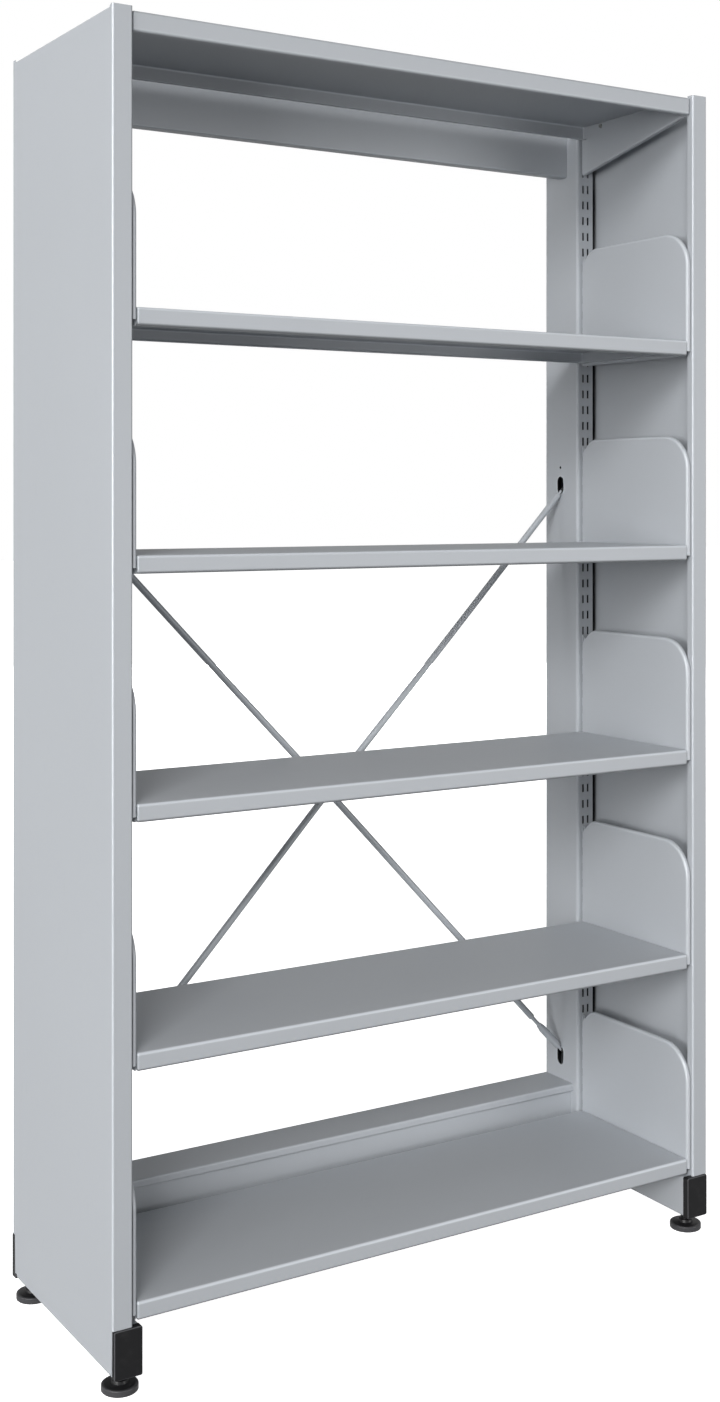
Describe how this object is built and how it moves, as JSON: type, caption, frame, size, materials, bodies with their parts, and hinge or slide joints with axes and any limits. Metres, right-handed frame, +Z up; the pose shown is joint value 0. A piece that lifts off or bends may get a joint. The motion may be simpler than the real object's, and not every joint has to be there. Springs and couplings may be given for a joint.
{
  "type": "library rack",
  "caption": "Single-sided steel library rack with clad end frames, hook-in shelves between rounded end supports, a canopy top, crossed rear brace rods and levelling feet.",
  "frame": {"origin": "on the floor, under the middle of the rack's bounding box", "axes": "+Z up, +X to the right along the shelves as seen from the front, +Y from the front to the back; the open front faces -Y"},
  "size_m": [1.066, 0.38, 1.87],
  "materials": {
    "panel_coat": "fine silver-grey powder coat, satin",
    "shelf_coat": "fine silver-grey powder coat, satin",
    "frame_coat": "fine silver-grey powder coat, satin",
    "cap_plastic": "fine-grained black",
    "foot_plastic": "satin black",
    "zinc_steel": "bright zinc plate"
  },
  "bodies": {
    "frame": {"base_leg_left": "frame_coat", "base_leg_right": "frame_coat", "base_rail": "frame_coat", "base_rail_screw_left_1": "zinc_steel", "base_rail_screw_left_2": "zinc_steel", "base_rail_screw_right_1": "zinc_steel", "base_rail_screw_right_2": "zinc_steel", "brace_rod_falling": "frame_coat", "brace_rod_rising": "frame_coat", "brace_sleeve_falling": "frame_coat", "brace_sleeve_rising": "frame_coat", "end_panel_left": "panel_coat", "end_panel_right": "panel_coat", "foot_insert_front_left": "zinc_steel", "foot_insert_front_right": "zinc_steel", "foot_insert_rear_left": "zinc_steel", "foot_insert_rear_right": "zinc_steel", "leg_cap_front_left": "cap_plastic", "leg_cap_front_right": "cap_plastic", "leg_cap_rear_left": "cap_plastic", "leg_cap_rear_right": "cap_plastic", "panel_screw_left_1": "zinc_steel", "panel_screw_left_2": "zinc_steel", "panel_screw_right_1": "zinc_steel", "panel_screw_right_2": "zinc_steel", "top_rail": "frame_coat", "top_rail_screw_left_1": "zinc_steel", "top_rail_screw_left_2": "zinc_steel", "top_rail_screw_right_1": "zinc_steel", "top_rail_screw_right_2": "zinc_steel", "upright_left": "frame_coat", "upright_right": "frame_coat"},
    "base_shelf_unit": {"base_shelf": "shelf_coat", "base_shelf_support_left": "shelf_coat", "base_shelf_support_right": "shelf_coat"},
    "shelf_1_unit": {"shelf_1": "shelf_coat", "shelf_1_support_left": "shelf_coat", "shelf_1_support_right": "shelf_coat"},
    "shelf_2_unit": {"shelf_2": "shelf_coat", "shelf_2_support_left": "shelf_coat", "shelf_2_support_right": "shelf_coat"},
    "shelf_3_unit": {"shelf_3": "shelf_coat", "shelf_3_support_left": "shelf_coat", "shelf_3_support_right": "shelf_coat"},
    "shelf_4_unit": {"shelf_4": "shelf_coat", "shelf_4_support_left": "shelf_coat", "shelf_4_support_right": "shelf_coat"},
    "canopy_unit": {"canopy": "shelf_coat", "canopy_bracket_left": "shelf_coat", "canopy_bracket_right": "shelf_coat", "canopy_screw_left": "zinc_steel", "canopy_screw_right": "zinc_steel"},
    "levelling_foot_front_left": {"foot_front_left": "foot_plastic"},
    "levelling_foot_front_right": {"foot_front_right": "foot_plastic"},
    "levelling_foot_rear_left": {"foot_rear_left": "foot_plastic"},
    "levelling_foot_rear_right": {"foot_rear_right": "foot_plastic"}
  },
  "joints": [
    {"name": "base_shelf_lift", "type": "slide", "parent": "frame", "child": "base_shelf_unit", "axis": [0, 0, 1], "range_m": [0, 0.008]},
    {"name": "shelf_1_lift", "type": "slide", "parent": "frame", "child": "shelf_1_unit", "axis": [0, 0, 1], "range_m": [0, 0.008]},
    {"name": "shelf_2_lift", "type": "slide", "parent": "frame", "child": "shelf_2_unit", "axis": [0, 0, 1], "range_m": [0, 0.008]},
    {"name": "shelf_3_lift", "type": "slide", "parent": "frame", "child": "shelf_3_unit", "axis": [0, 0, 1], "range_m": [0, 0.008]},
    {"name": "shelf_4_lift", "type": "slide", "parent": "frame", "child": "shelf_4_unit", "axis": [0, 0, 1], "range_m": [0, 0.008]},
    {"name": "canopy_lift", "type": "slide", "parent": "frame", "child": "canopy_unit", "axis": [0, 0, 1], "range_m": [0, 0.008]},
    {"name": "foot_front_left_screw", "type": "slide", "parent": "frame", "child": "levelling_foot_front_left", "axis": [0, 0, -1], "range_m": [0, 0.015]},
    {"name": "foot_front_right_screw", "type": "slide", "parent": "frame", "child": "levelling_foot_front_right", "axis": [0, 0, -1], "range_m": [0, 0.015]},
    {"name": "foot_rear_left_screw", "type": "slide", "parent": "frame", "child": "levelling_foot_rear_left", "axis": [0, 0, -1], "range_m": [0, 0.015]},
    {"name": "foot_rear_right_screw", "type": "slide", "parent": "frame", "child": "levelling_foot_rear_right", "axis": [0, 0, -1], "range_m": [0, 0.015]}
  ]
}
